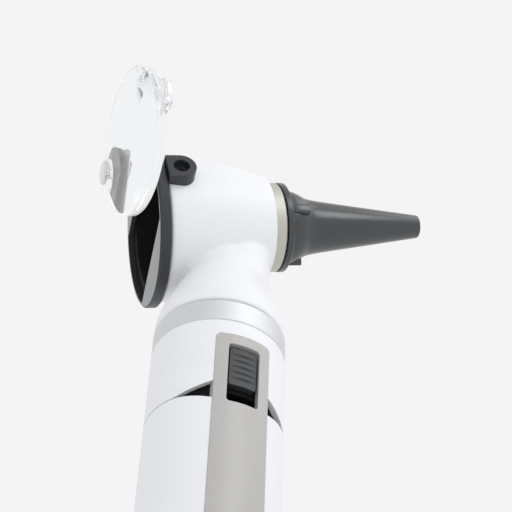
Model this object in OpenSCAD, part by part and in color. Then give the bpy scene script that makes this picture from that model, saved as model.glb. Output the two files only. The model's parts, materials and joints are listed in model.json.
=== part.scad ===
// Otoscope: a battery handle with a thumb slider and a tilted head.
// The head carries a swing lens at the rear and an ear speculum at the front.
// Origin: centre of the end cap's flat base. +Z runs up the handle, +X towards the speculum.
// The thumb slider and the air port are on the -Y side. All sizes are millimetres.

/* [Cells] */
// Diameter of one cell
cell_d = 26.2; // [24:0.1:28]
// Height of one cell, terminal included
cell_h = 50; // [42:0.5:58]
// Diameter of the positive terminal
cell_nub_d = 6.6; // [5:0.1:9]
// Height of the positive terminal
cell_nub_h = 1.5; // [1:0.1:2.5]
// Radial play of the cells in the tube
cell_clear = 0.5; // [0.45:0.05:1.2]

/* [Handle] */
// Wall of the tube and of the sleeve
handle_wall = 1.4; // [1.2:0.1:2.5]
// Room for the switch between the cells and the collar
switch_bay_h = 29.5; // [28.5:0.5:45]
// Distance of the tube's parting line below the collar
parting_drop = 20.5; // [14:0.5:24]
// Gap at the parting line
parting_gap = 0.3; // [0.1:0.05:0.6]
// Height of the grey collar
collar_h = 6.3; // [3:0.1:12]
// Chamfer on the collar's rims
collar_chamfer = 0.4; // [0.2:0.1:1]
// Width of the return contact strip
contact_strip_w = 6; // [3:0.5:9]

/* [End cap] */
// Height of the cap below the tube
cap_h = 12; // [9:0.5:20]
// Thickness of the cap's floor
cap_floor = 3; // [2:0.5:5]
// Length of the plug inside the tube
plug_h = 5; // [4:0.5:9]
// Chamfer round the base
cap_chamfer = 1.2; // [0.5:0.1:2]
// Number of grip flutes
cap_flutes = 24; // [8:1:36]
// Depth of a grip flute
flute_depth = 0.35; // [0.1:0.05:0.6]
// Radius of a grip flute
flute_r = 1.1; // [0.6:0.1:1.8]
// Thickness of the seal ring
seal_d = 1.24; // [0.8:0.02:1.5]
// Wire of the battery spring
spring_wire = 1.1; // [0.8:0.1:1.4]
// Turns of the battery spring
spring_turns = 5; // [3:1:6]
// Diameter of the battery spring at the cap
spring_foot_d = 17; // [14:0.5:19]
// Diameter of the battery spring at the cell
spring_top_d = 10; // [8:0.5:13]

/* [Switch] */
// Direction of the switch round the handle, from the speculum
switch_azimuth = -76; // [-120:1:-50]
// Width of the grey strip
strip_w = 12.5; // [11:0.5:16]
// Length of the grey strip
strip_l = 64; // [40:1:90]
// Distance of the strip below the collar
strip_drop = 3.9; // [3:0.1:6]
// How far the strip stands above the handle
strip_proud = 0.2; // [0.1:0.05:0.5]
// Distance of the window below the strip's top
window_drop = 2.7; // [1.8:0.1:3]
// Width of the window
window_w = 7.2; // [6:0.1:9]
// Length of the thumb slider
slider_l = 10; // [9:0.1:12]
// Travel of the thumb slider
slider_travel = 4; // [3:0.5:6.5]
// How far the slider's face lies below the handle's surface
slider_sink = 0.3; // [0.1:0.1:0.6]
// Number of grip grooves on the slider
slider_grooves = 5; // [3:1:7]
// Half width of the flared cut at the parting line
wing_half = 13; // [9:0.5:13.5]
// Height of the flared cut above the parting line
wing_up = 3.5; // [2:0.1:5]
// Height of the flared cut below the parting line
wing_down = 1.4; // [0.8:0.1:3]

/* [Coupling] */
// Diameter of the coupling post
post_d = 16; // [14:0.5:18]
// Height of the post above the collar
post_rise = 10.7; // [9:0.1:12]
// Thickness of the post's flange
post_flange_h = 3; // [2:0.5:4]
// Diameter of the insulator in the post
insulator_d = 8; // [6:0.5:9]
// Diameter of the spring contact pin
contact_pin_d = 3.2; // [2:0.1:4]
// Diameter of a bayonet pin
bayonet_d = 1.8; // [1.2:0.1:2.4]
// Height of the bayonet pins above the collar
bayonet_h = 6; // [4:0.5:8]
// Turn that frees the head, in degrees
bayonet_turn = 60; // [30:5:80]
// Wall of the slotted socket in the neck
socket_wall = 0.94; // [0.8:0.02:1.4]
// Height of the slotted socket
socket_h = 11.4; // [10.5:0.1:14]

/* [Lamp] */
// Diameter of the lamp's metal base
lamp_base_d = 7.2; // [5:0.2:9]
// Diameter of the lamp's glass
lamp_glass_d = 5.8; // [4:0.2:7]
// Height of the lamp's glass above its base
lamp_glass_h = 6.4; // [5:0.2:7]
// Height of the lamp holder
lamp_holder_h = 4; // [3:0.5:5]
// Diameter of the light guide
fibre_d = 1.8; // [1.2:0.1:1.8]

/* [Head] */
// Upward tilt of the head's axis, in degrees
head_tilt = 14; // [8:0.2:20]
// Height of the head's axis above the collar's underside
head_rise = 45; // [42:0.5:52]
// Length of the head behind the handle's axis
head_back = 18.3; // [16:0.1:24]
// Length of the head in front of the handle's axis
head_front = 9.3; // [8:0.1:12]
// Where the two cones meet, behind the handle's axis
head_crease = 1.8; // [0:0.1:6]
// Diameter of the head at the rear ring
head_rear_d = 36.6; // [36:0.1:38]
// Diameter of the head where the two cones meet
head_mid_d = 31.4; // [30:0.1:33]
// Diameter of the head at the nose
head_front_d = 25.4; // [24.6:0.1:27]
// Wall of the head
head_wall = 1.6; // [1.2:0.1:2]
// Width of the neck across the head
neck_w = 15.6; // [15:0.2:18]
// Reach of the neck towards the nose
neck_front = 11.1; // [10.4:0.1:12]
// Reach of the neck towards the rear ring
neck_back = 8.8; // [8.4:0.1:11]
// Diameter of the neck's foot
neck_foot_d = 29.8; // [27:0.2:30]
// Height of the straight foot of the neck
neck_foot_h = 1.5; // [1:0.1:3]
// Height of the flare between the foot and the neck
neck_flare = 25.5; // [24:0.5:27]

/* [Rear ring] */
// Diameter of the rear ring
ring_d = 38.8; // [38.2:0.1:41]
// Width of the rear ring's band
ring_w = 2.8; // [2.4:0.1:5]
// Thickness of the rear ring's plate
ring_plate = 1.2; // [1:0.1:1.4]
// Height of the eyepiece, between the plate's two straight edges
eyepiece_h = 22.8; // [18:0.2:23]
// Wall of the ring at the ends of the eyepiece
ring_lip = 1; // [0.8:0.1:1.6]
// Diameter of the spigot inside the head
spigot_d = 32.6; // [32.2:0.1:33]
// Wall of the spigot
spigot_wall = 0.9; // [0.7:0.1:1.2]
// Length of the spigot
spigot_l = 6.3; // [6:0.1:7.5]
// Width of the notch beside the air port
notch_w = 5; // [2:0.5:6]
// Depth of the notch below the ring's band
notch_depth = 1.6; // [0.8:0.1:2]
// Length of the notch along the band
notch_l = 1.3; // [0.6:0.1:2]
// Wall of the black liner
liner_wall = 0.7; // [0.6:0.1:1]
// Thickness of the liner's flange
liner_flange = 0.5; // [0.4:0.1:0.6]

/* [Air port] */
// Diameter of the port's hole
port_d = 3.9; // [2.4:0.1:4.2]
// Depth of the port's hole
port_depth = 2; // [1.2:0.1:2.2]
// Diameter of the air passage below the hole
port_passage_d = 2.2; // [1.2:0.1:2.2]
// Width of the port's tongue
port_w = 7.2; // [6.5:0.1:9]
// Distance of the port's centre in front of the head's rear edge
port_s = 3.4; // [2.8:0.1:3.4]
// Wall of the stub that takes the passage through the head
port_stub_wall = 0.65; // [0.5:0.05:0.7]
// Distance of the tongue's flat from the head's axis
port_reach = 20.6; // [19.4:0.1:22]

/* [Lens] */
// Diameter of the lens
lens_d = 36; // [30:0.2:37]
// Thickness of the lens at its rim
lens_t = 3; // [2.6:0.1:5]
// Gap between the lens and the rear ring
lens_gap = 4.1; // [3:0.1:6]
// Crown of each lens face
lens_crown = 0.6; // [0.3:0.1:1.2]
// Width of the flat rim round the lens face
lens_rim = 7; // [6:0.1:9]
// Distance of the pivot from the lens's centre
pivot_reach = 16.1; // [15.6:0.1:18]
// Direction of the pivot round the ring, from the port's side upwards
pivot_polar = 82.2; // [60:0.2:120]
// Sideways cant of the pivot, in degrees
pivot_cant_side = 5.7; // [0:0.1:6]
// Downward cant of the pivot, in degrees
pivot_cant_drop = 4.5; // [0:0.1:6]
// Swing of the lens from closed to its place here, in degrees
lens_swing = 81.2; // [0:0.2:90]
// Diameter of the lens's pivot boss
boss_d = 7.6; // [6.4:0.1:9]
// How far the boss stands out towards the ring
boss_front = 0.8; // [0.6:0.1:1.2]
// How far the boss stands out behind the lens
boss_rear = 0.3; // [0.3:0.1:1]
// Width of the finger tab
tab_w = 10; // [6:0.5:14]
// Length of the finger tab past the rim
tab_l = 4; // [2:0.1:6]
// Thickness of the finger tab
tab_t = 2; // [1.5:0.1:2.4]
// Diameter of the rivet's shank
rivet_d = 3; // [2:0.1:3.6]
// Diameter of the rivet's head
rivet_head_d = 6.2; // [5:0.1:7]
// Height of the rivet's head
rivet_head_h = 0.7; // [0.5:0.1:2]
// Thickness of the spring washer
washer_t = 0.3; // [0.2:0.05:0.5]
// Diameter of the ring's pivot ear
ear_d = 14; // [12:0.2:16]
// Height of the ear's broad step behind the ring
ear_step = 1.4; // [0.6:0.1:1.6]
// Diameter of the ear's top, under the washer
ear_top_d = 4.6; // [4.4:0.2:10]

/* [Nose and speculum] */
// Diameter of the pale nose ring
nose_ring_d = 22.2; // [21.6:0.1:24]
// Length of the pale nose ring
nose_ring_l = 3.1; // [2:0.1:5]
// Length of the nose cone in front of the nose ring
nose_reach = 21.6; // [12:0.2:26]
// Gap between the nose ring and the speculum
spec_gap = 0.2; // [0.1:0.05:0.5]
// Diameter of the speculum's flange
flange_d = 22.3; // [21:0.1:24]
// Thickness of the speculum's flange
flange_t = 1.5; // [1:0.1:2.5]
// Length of the speculum's shoulder
shoulder_l = 6; // [4.5:0.1:9]
// Diameter of the cone where the shoulder ends
spec_cone_d = 13.9; // [13.2:0.1:15]
// Length of the speculum's cone
spec_cone_l = 30.4; // [26:0.2:40]
// Diameter of the speculum's tip
spec_tip_d = 5.8; // [5.2:0.1:8]
// Wall of the speculum
spec_wall = 0.9; // [0.7:0.05:1.1]
// Number of locking ribs
spec_ribs = 3; // [2:1:6]
// Width of a locking rib
rib_w = 2.6; // [1.5:0.1:4]
// Reach of a locking rib from the axis
rib_reach = 9.5; // [9.3:0.1:10.5]
// Direction of the first locking rib round the axis
rib_polar = -135; // [-180:5:180]

/* [Hidden] */
$fn = 96;

// Clearances
eps = 0.01;
over = 1;          // overshoot of a cut past a face
seat = 0.03;       // radial play of a part fixed in its seat
run = 0.06;        // radial play of a part that turns or slides in another
touch = 0.1;       // air at a sprung contact
face_gap = 0.2;    // air between faces that turn on each other

// Handle
tube_r = cell_d / 2 + cell_clear;
handle_r = tube_r + handle_wall;
plug_r = tube_r - run;
cap_bore_r = max(spring_foot_d / 2 + 2.5, tube_r - 2.1);
seal_r = plug_r + run / 2 - seal_d / 2 - eps;
seal_z = cap_h + plug_h / 2;
cell_bottom = cap_h + plug_h + 0.5;
cells_top = cell_bottom + 2 * cell_h;
plus_disc_t = 0.5;
plus_disc_d = 2.2 * cell_nub_d;
plus_stem_d = 0.46 * cell_nub_d;
plus_stem_h = 2 * cell_nub_h;
pin_root = 1;
core_bottom = cells_top + plus_disc_t;
handle_h = cells_top + switch_bay_h + plus_disc_t;
core_top = handle_h - post_flange_h;
core_r = tube_r - seat;
parting_z = handle_h - parting_drop;
collar_top = handle_h + collar_h;

// Battery spring
spring_sides = 6;
spring_rings = 8;
spring_z0 = cap_floor + spring_wire / 2;
spring_z1 = cell_bottom - touch - spring_wire / 2;
spring_steps = spring_turns * spring_rings;

// Switch
strip_corner = 1;
strip_top = handle_h - strip_drop;
strip_mid = strip_top - strip_l / 2;
window_end_gap = 0.9;
window_side_gap = 0.5;
window_l = slider_l + slider_travel + 2 * window_end_gap;
window_top = strip_top - window_drop;
window_mid = window_top - window_l / 2;
slider_w = window_w - 2 * window_side_gap;
slider_mid = window_top - window_end_gap - slider_l / 2;
foot_lip = 1.4;
foot_w = slider_w + 2 * foot_lip;
foot_l = slider_l + 2 * foot_lip;
foot_outer_r = tube_r - 0.3;
foot_inner_r = foot_outer_r - 1.4;
leaf_t = 0.4;
leaf_w = 4;
pocket_r = foot_inner_r - leaf_t - 0.6;
pocket_margin = 0.4;

// Coupling
post_r = post_d / 2;
post_top = collar_top + post_rise;
post_flange_r = tube_r - 1.6;
bayonet_z = collar_top + bayonet_h;
socket_r = post_r + run + socket_wall;
socket_z0 = collar_top + 0.6;
socket_z1 = socket_z0 + socket_h;
neck_bore_r = socket_r + seat;
slot_play = 0.15;
lamp_z0 = post_top + 0.7;
lamp_top = socket_z1 + lamp_holder_h + 0.8;
contact_tip = lamp_z0 - face_gap;

// Head
z_head = handle_h + head_rise;
head_rear_r = head_rear_d / 2;
head_mid_r = head_mid_d / 2;
head_front_r = head_front_d / 2;
lip_s = head_front - 3;          // rear face of the inner lip at the nose
lip_t = 1.2;
nose_seat_s = lip_s + lip_t;     // where the nose cone's flange sits
nose_seat_r = head_front_r - 2.15;
lip_r = nose_seat_r - 0.6;
neck_bottom = collar_top + face_gap;
neck_r = neck_w / 2;
lamp_bore_r = lamp_base_d / 2 + 1;
neck_top = z_head - 8;

// Rear ring and liner
ring_r = ring_d / 2;
ring_front = -head_back;
ring_rear = ring_front - ring_w;
ring_open_r = ring_r - ring_lip;
spigot_r = spigot_d / 2;
spigot_end = ring_front + spigot_l;
spigot_bore_r = spigot_r - spigot_wall;
plate_s = ring_rear + ring_plate;
liner_seat_s = plate_s + face_gap + liner_flange + seat;
liner_s0 = liner_seat_s - seat - liner_flange;
liner_s1 = nose_seat_s;
liner_rear_r = spigot_bore_r - seat;
liner_front_r = 7;
port_axis_s = ring_front + port_s;
port_floor = port_reach - port_depth;
passage_r = port_passage_d / 2;
stub_r = passage_r + port_stub_wall;

// Lens and its pivot
lens_front_s = ring_rear - lens_gap;
lens_rear_s = lens_front_s - lens_t;
lens_edge = 0.4;
pivot_y = -pivot_reach * cos(pivot_polar);
pivot_z = pivot_reach * sin(pivot_polar);
pivot_slope = [1, tan(pivot_cant_side), -tan(pivot_cant_drop)];
pivot_axis = pivot_slope / norm(pivot_slope);
pivot_cant = acos(pivot_axis[0]);
ear_top = lens_gap - boss_front - washer_t;
rivet_end = ring_plate - touch;

// Nose and speculum
nose_front = head_front + nose_ring_l;
nose_bore_r = nose_seat_r - 1.2;
spec_s0 = nose_front + spec_gap;
flange_s1 = spec_s0 + flange_t;
cone_s0 = flange_s1 + shoulder_l;
cone_s1 = cone_s0 + spec_cone_l;
flange_r = flange_d / 2;
cone_r = spec_cone_d / 2;
tip_r = spec_tip_d / 2;
nose_play = 0.4;
fibre_ring_t = 0.6;
nose_tip_s = nose_front + nose_reach;
fibre_end_w = -(lip_r + liner_front_r) / 2 + 0.15;

function mix(a, b, t) = a + (b - a) * t;

// Outer radius of the head at station s along its axis
function head_r(s) = s < -head_crease
    ? mix(head_rear_r, head_mid_r, (s + head_back) / (head_back - head_crease))
    : mix(head_mid_r, head_front_r, (s + head_crease) / (head_front + head_crease));

// Outer radius of the speculum's cone and inner radius of its bore
function spec_r(s) = mix(cone_r, tip_r, (s - cone_s0) / spec_cone_l);
function spec_bore(s) = spec_r(s) - spec_wall;

// Points of an arc about c, from angle a0 to a1
function arc(c, r, a0, a1, n = 8) =
    [for (i = [0:n]) c + r * [cos(mix(a0, a1, i / n)), sin(mix(a0, a1, i / n))]];

// Puts what is drawn along +X on the head's tilted axis
module head_frame() {
    translate([0, 0, z_head])
        rotate([0, -head_tilt, 0])
            children();
}

// Revolves a list of [station, radius] points about the head's axis
module revolve(profile) {
    rotate([0, 90, 0])
        rotate_extrude()
            polygon([for (p = profile) [p[1], p[0]]]);
}

// Turns a radial piece, drawn along +Z, to a polar direction round the head
module at_polar(polar) {
    rotate([90 - polar, 0, 0])
        children();
}

// Puts +Z along the lens's pivot, with z = 0 in the rear ring's rear plane
module on_pivot() {
    translate([ring_rear, pivot_y, pivot_z])
        rotate(a = pivot_cant, v = [0, -pivot_axis[2], pivot_axis[1]])
            rotate([0, 90, 0])
                children();
}

// Swings the closed lens open about its pivot
module swung() {
    translate([ring_rear, pivot_y, pivot_z])
        rotate(a = -lens_swing, v = pivot_axis)
            translate([-ring_rear, -pivot_y, -pivot_z])
                children();
}

// Extrudes a flat shape outwards at the switch: x runs round the handle, y runs up
module switch_face(from_r, to_r) {
    rotate([0, 0, switch_azimuth])
        rotate([90, 0, 90])
            translate([0, 0, from_r])
                linear_extrude(to_r - from_r)
                    children();
}

module rounded_rect(w, h, r) {
    square([w - 2 * r, h], center = true);
    square([w, h - 2 * r], center = true);
    for (x = [-1, 1], y = [-1, 1])
        translate([x * (w / 2 - r), y * (h / 2 - r)])
            circle(r);
}

module tube(r_out, r_in, z0, z1) {
    translate([0, 0, z0])
        rotate_extrude()
            translate([r_in, 0])
                square([r_out - r_in, z1 - z0]);
}

// End cap and cells

module end_cap() {
    groove = [
        [plug_r, seal_z - seal_d * 0.6],
        [seal_r - seal_d / 2, seal_z - seal_d * 0.6],
        [seal_r - seal_d / 2, seal_z + seal_d * 0.6],
        [plug_r, seal_z + seal_d * 0.6]
    ];
    profile = concat(
        [[0, 0], [handle_r - cap_chamfer, 0], [handle_r, cap_chamfer], [handle_r, cap_h]],
        [[plug_r, cap_h]],
        groove,
        [[plug_r, cap_h + plug_h], [cap_bore_r, cap_h + plug_h], [cap_bore_r, cap_floor]],
        [[0, cap_floor]]
    );
    flute_z0 = cap_chamfer + 1;
    color("#c9cbcd")
        difference() {
            rotate_extrude()
                polygon(profile);
            for (i = [0:cap_flutes - 1])
                rotate([0, 0, (i + 0.5) * 360 / cap_flutes])
                    translate([handle_r + flute_r - flute_depth, 0, flute_z0])
                        cylinder(r = flute_r, h = cap_h - flute_z0 - 1.5);
        }
}

module cap_seal() {
    color("#202020")
        translate([0, 0, seal_z])
            rotate_extrude()
                translate([seal_r, 0])
                    circle(d = seal_d);
}

// Centre line of the battery spring, t from 0 at the cap to 1 at the cell
function spring_point(t) =
    let (r = mix(spring_foot_d, spring_top_d, t) / 2, a = 360 * spring_turns * t)
        [r * cos(a), r * sin(a), mix(spring_z0, spring_z1, t)];

spring_line = [for (i = [0:spring_steps]) spring_point(i / spring_steps)];
spring_self_gap = min([
    for (i = [0:spring_steps], j = [i + spring_rings - 2:spring_steps])
        if (j <= spring_steps)
            norm(spring_line[i] - spring_line[j])
]) - spring_wire;
echo(spring_self_gap = spring_self_gap);

module battery_spring() {
    points = [
        for (i = [0:spring_steps], k = [0:spring_sides - 1])
            let (a = 360 * spring_turns * i / spring_steps, b = 360 * (k + 0.5) / spring_sides)
                spring_line[i] + spring_wire / 2
                    * [cos(b) * cos(a), cos(b) * sin(a), sin(b)]
    ];
    last = spring_steps * spring_sides;
    sides = [
        for (i = [0:spring_steps - 1], k = [0:spring_sides - 1])
            let (p = i * spring_sides + k, q = i * spring_sides + (k + 1) % spring_sides)
                each [[p, q, p + spring_sides], [q, q + spring_sides, p + spring_sides]]
    ];
    ends = [
        for (k = [1:spring_sides - 2])
            each [[0, k + 1, k], [last, last + k, last + k + 1]]
    ];
    color("#b9bcbf")
        polyhedron(points, concat(sides, ends));
}

module cell(z) {
    edge = 0.6;
    body_h = cell_h - cell_nub_h;
    r = cell_d / 2;
    translate([0, 0, z])
        rotate_extrude()
            polygon([
                [0, 0], [r - edge, 0], [r, edge], [r, body_h - edge], [r - edge, body_h],
                [cell_nub_d / 2, body_h], [cell_nub_d / 2, cell_h], [0, cell_h]
            ]);
}

module cell_lower() {
    color("#44566b")
        cell(cell_bottom);
}

module cell_upper() {
    color("#44566b")
        cell(cell_bottom + cell_h);
}

// Sector of the return strip opposite the switch, grown by a margin
module strip_sector(margin) {
    half = contact_strip_w / 2 / tube_r * 180 / PI + margin * 3;
    strip_r = tube_r - 0.06;
    rotate([0, 0, switch_azimuth + 180 - half])
        translate([0, 0, cell_bottom - margin])
            rotate_extrude(angle = 2 * half)
                translate([strip_r - 0.3 - margin, 0])
                    square([0.3 + 2 * margin, core_bottom + 6 - cell_bottom + 2 * margin]);
}

module contact_strip() {
    color("#b8913f")
        strip_sector(0);
}

// Tube, sleeve and switch

module strip_cut() {
    switch_face(tube_r - 3, handle_r + over)
        translate([0, strip_mid])
            rounded_rect(strip_w + 2 * seat, strip_l + 2 * seat, strip_corner + seat);
}

// Flared cut where the tube and the sleeve meet
module wing_cut() {
    inner = strip_w / 2 - 0.3;
    switch_face(tube_r - 8, handle_r + over)
        translate([0, parting_z])
            polygon([
                [-wing_half, 0], [-inner, -wing_down], [inner, -wing_down],
                [wing_half, 0], [inner, wing_up], [-inner, wing_up]
            ]);
}

module handle_tube() {
    color("#f2f2f2")
        difference() {
            tube(handle_r, tube_r, cap_h + face_gap, parting_z - parting_gap / 2);
            strip_cut();
            wing_cut();
        }
}

module switch_sleeve() {
    color("#f2f2f2")
        difference() {
            tube(handle_r, tube_r, parting_z + parting_gap / 2, handle_h);
            strip_cut();
            wing_cut();
        }
}

module switch_plate() {
    color("#b4b6b8")
        difference() {
            intersection() {
                tube(handle_r + strip_proud, tube_r, strip_mid - strip_l, strip_top + over);
                switch_face(tube_r - 6, handle_r + over)
                    translate([0, strip_mid])
                        rounded_rect(strip_w, strip_l, strip_corner);
            }
            switch_face(tube_r - 7, handle_r + 2 * over)
                translate([0, window_mid])
                    rounded_rect(window_w, window_l, 0.8);
        }
}

module switch_slider() {
    top_r = handle_r - slider_sink;
    groove_r = 0.45;
    groove_pitch = (slider_l - 2) / slider_grooves;
    color("#5c5e60")
        difference() {
            union() {
                intersection() {
                    tube(foot_outer_r, foot_inner_r, slider_mid - foot_l, slider_mid + foot_l);
                    switch_face(foot_inner_r - 3, foot_outer_r + over)
                        translate([0, slider_mid])
                            square([foot_w, foot_l], center = true);
                }
                intersection() {
                    tube(top_r, foot_inner_r + 0.4, slider_mid - foot_l, slider_mid + foot_l);
                    switch_face(foot_inner_r - 3, top_r + over)
                        translate([0, slider_mid])
                            rounded_rect(slider_w, slider_l, 0.6);
                }
            }
            for (i = [0:slider_grooves - 1])
                rotate([0, 0, switch_azimuth])
                    translate([top_r + 0.1, 0, slider_mid + (i - (slider_grooves - 1) / 2) * groove_pitch])
                        rotate([90, 0, 0])
                            cylinder(r = groove_r, h = 2 * window_w, center = true);
        }
}

module slider_contact() {
    color("#b8913f")
        intersection() {
            tube(foot_inner_r, foot_inner_r - leaf_t, slider_mid - foot_l, slider_mid + foot_l);
            switch_face(pocket_r - 3, foot_inner_r + over)
                translate([0, slider_mid])
                    square([leaf_w, slider_l - 2], center = true);
        }
}

module switch_core() {
    pocket_l = foot_l + slider_travel + 2 * pocket_margin;
    pocket_mid = slider_mid - slider_travel / 2;
    color("#2b2c2e")
        difference() {
            translate([0, 0, core_bottom])
                cylinder(r = core_r, h = core_top - core_bottom);
            switch_face(pocket_r, core_r + over)
                translate([0, pocket_mid])
                    square([foot_w + 2 * pocket_margin, pocket_l], center = true);
            strip_sector(0.05);
            translate([0, 0, core_bottom - over])
                cylinder(d = plus_stem_d + 2 * seat, h = plus_stem_h + over + seat);
            translate([0, 0, core_top - pin_root - face_gap])
                cylinder(r = contact_pin_d / 2 + seat, h = pin_root + face_gap + over);
        }
}

module plus_contact() {
    color("#b8913f") {
        translate([0, 0, cells_top])
            cylinder(d = plus_disc_d, h = plus_disc_t);
        translate([0, 0, cells_top])
            cylinder(d = plus_stem_d, h = plus_disc_t + plus_stem_h);
    }
}

// Coupling between handle and head

module collar_ring() {
    r_in = post_r + seat;
    color("#cfd0d1")
        rotate_extrude()
            polygon([
                [r_in, handle_h], [handle_r - collar_chamfer, handle_h],
                [handle_r, handle_h + collar_chamfer], [handle_r, collar_top - collar_chamfer],
                [handle_r - collar_chamfer, collar_top], [r_in, collar_top]
            ]);
}

// A radial pin on each side, at the bayonet's height
module bayonet_pair(r, from_r, to_r) {
    for (a = [0, 180])
        rotate([0, 0, a])
            translate([from_r, 0, bayonet_z])
                rotate([0, 90, 0])
                    cylinder(r = r, h = to_r - from_r);
}

module coupling_post() {
    color("#c4c6c8")
        difference() {
            union() {
                tube(post_flange_r, insulator_d / 2 + seat, core_top, handle_h);
                tube(post_r, insulator_d / 2 + seat, core_top, post_top);
            }
            bayonet_pair(bayonet_d / 2 + seat, post_r - 1.5 - seat, post_r + over);
        }
}

module bayonet_pins() {
    color("#d2d4d6")
        bayonet_pair(bayonet_d / 2, post_r - 1.5, post_r + run + 0.74);
}

module pin_insulator() {
    color("#e8e2d2")
        tube(insulator_d / 2, contact_pin_d / 2 + seat, core_top, post_top - 1);
}

module contact_pin() {
    r = contact_pin_d / 2;
    color("#c7a24a")
        translate([0, 0, core_top - pin_root])
            rotate_extrude()
                polygon(concat(
                    [[0, 0], [r, 0]],
                    arc([0, contact_tip - core_top + pin_root - r], r, 0, 90)
                ));
}

module neck_socket() {
    slot_r = bayonet_d / 2 + slot_play;
    slot_half = asin(slot_r / post_r);
    color("#c4c6c8")
        difference() {
            tube(socket_r, post_r + run, socket_z0, socket_z1);
            for (a = [0, 180])
                rotate([0, 0, a - bayonet_turn - slot_half])
                    translate([0, 0, bayonet_z - slot_r])
                        rotate_extrude(angle = bayonet_turn + 2 * slot_half)
                            translate([post_r - over, 0])
                                square([socket_wall + 2 * over, 2 * slot_r]);
            for (a = [0, 180])
                rotate([0, 0, a - bayonet_turn])
                    translate([post_r - over, -slot_r, socket_z0 - over])
                        cube([socket_wall + 2 * over, 2 * slot_r, bayonet_z - socket_z0 + over]);
        }
}

module lamp_holder() {
    color("#3a3a3c")
        tube(socket_r, lamp_base_d / 2 + seat, socket_z1, socket_z1 + lamp_holder_h);
}

module lamp_base() {
    r = lamp_base_d / 2;
    edge = 0.5;
    color("#b7b9bb")
        rotate_extrude()
            polygon([
                [0, lamp_z0], [r - edge, lamp_z0], [r, lamp_z0 + edge], [r, lamp_top - edge],
                [r - edge, lamp_top], [0, lamp_top]
            ]);
}

module lamp_bulb() {
    r = lamp_glass_d / 2;
    color("#e9eef2")
        translate([0, 0, lamp_top])
            rotate_extrude()
                polygon(concat([[0, 0], [r, 0]], arc([0, lamp_glass_h - r], r, 0, 90)));
}

// Head

// Light guide: a straight rod from above the lamp to the nose's seat, cut flush there
guide_gap = 0.5;
guide_start = lamp_top + lamp_glass_h + guide_gap + fibre_d / 2 - z_head;
guide_a = guide_start * [sin(head_tilt), cos(head_tilt)];
guide_b = [nose_seat_s, fibre_end_w];
guide_slope = atan2(guide_b[1] - guide_a[1], guide_b[0] - guide_a[0]);

module fibre_bundle() {
    color("#e6dcc0")
        head_frame()
            difference() {
                translate([guide_a[0], 0, guide_a[1]])
                    rotate([0, 90 - guide_slope, 0])
                        cylinder(d = fibre_d, h = norm(guide_b - guide_a) + fibre_d);
                translate([nose_seat_s - seat, -fibre_d, fibre_end_w - fibre_d])
                    cube(2 * fibre_d);
            }
}

// Point at t on the curve with end points p[0], p[3] and pulls p[1], p[2]
function bezier(p, t) =
    pow(1 - t, 3) * p[0] + 3 * pow(1 - t, 2) * t * p[1] + 3 * (1 - t) * t * t * p[2] + pow(t, 3) * p[3];

// Neck: a foot that flares in to an oblong neck, which reaches further to the nose than to the rear
module neck_outer() {
    edge = 0.4;
    foot_r = neck_foot_d / 2;
    foot_top = neck_bottom + neck_foot_h;
    flare_top = foot_top + neck_flare;
    curve = [
        [foot_r, foot_top], [foot_r, foot_top + 0.31 * neck_flare],
        [neck_r, flare_top - 0.39 * neck_flare], [neck_r, flare_top]
    ];
    rotate_extrude()
        polygon(concat(
            [[0, neck_bottom], [foot_r - edge, neck_bottom], [foot_r, neck_bottom + edge]],
            [for (i = [0:14]) bezier(curve, i / 14)],
            [[neck_r, neck_top], [0, neck_top]]
        ));
    translate([0, 0, foot_top])
        linear_extrude(neck_top - foot_top) {
            translate([neck_r - neck_back, -neck_r])
                square([neck_front + neck_back - neck_w, neck_w]);
            for (x = [neck_r - neck_back, neck_front - neck_r])
                translate([x, 0])
                    circle(neck_r);
        }
}

module head_cones() {
    edge = 0.5;
    nose_round = 0.8;
    soft = 1.2;
    head_frame()
        revolve(concat(
            [[-head_back, 0], [-head_back, head_rear_r - edge]],
            [[-head_back + edge, head_r(-head_back + edge)]],
            [for (t = [-1, -0.4, 0.4, 1])
                let (s = -head_crease + t * soft)
                    [s, head_r(s) - 0.06 * (1 - abs(t))]],
            [for (a = [0:22.5:90])
                [head_front - nose_round + nose_round * sin(a),
                    head_r(head_front - nose_round) - nose_round * (1 - cos(a))]],
            [[head_front, 0]]
        ));
}

module head_cavity() {
    s0 = spigot_end + 0.2;
    head_frame()
        revolve([
            [-head_back - over, 0], [-head_back - over, spigot_r + seat], [s0, spigot_r + seat],
            [s0, head_r(s0) - head_wall], [-head_crease, head_mid_r - head_wall],
            [lip_s, head_r(lip_s) - head_wall], [lip_s, lip_r], [nose_seat_s, lip_r],
            [nose_seat_s, nose_seat_r + seat], [head_front + over, nose_seat_r + seat],
            [head_front + over, 0]
        ]);
}

module head_shell() {
    color("#f4f4f4")
        difference() {
            union() {
                head_cones();
                neck_outer();
            }
            head_cavity();
            translate([0, 0, neck_bottom - over])
                cylinder(r = neck_bore_r, h = socket_z1 + lamp_holder_h + seat - neck_bottom + over);
            translate([0, 0, socket_z1])
                cylinder(r = lamp_bore_r, h = neck_top - over - socket_z1);
            head_frame()
                at_polar(0)
                    translate([port_axis_s, 0, spigot_r - over])
                        cylinder(r = stub_r + seat, h = head_rear_r - spigot_r + 2 * over);
        }
}

module head_liner() {
    color("#161617")
        head_frame()
            difference() {
                revolve([
                    [liner_s0, liner_rear_r - liner_wall], [liner_s0, ring_open_r - seat],
                    [liner_seat_s - seat, ring_open_r - seat], [liner_seat_s - seat, liner_rear_r],
                    [liner_s1, liner_front_r], [liner_s1, liner_front_r - liner_wall]
                ]);
                at_polar(0)
                    translate([port_axis_s, 0, 0])
                        cylinder(r = passage_r, h = spigot_r);
            }
}

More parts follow.
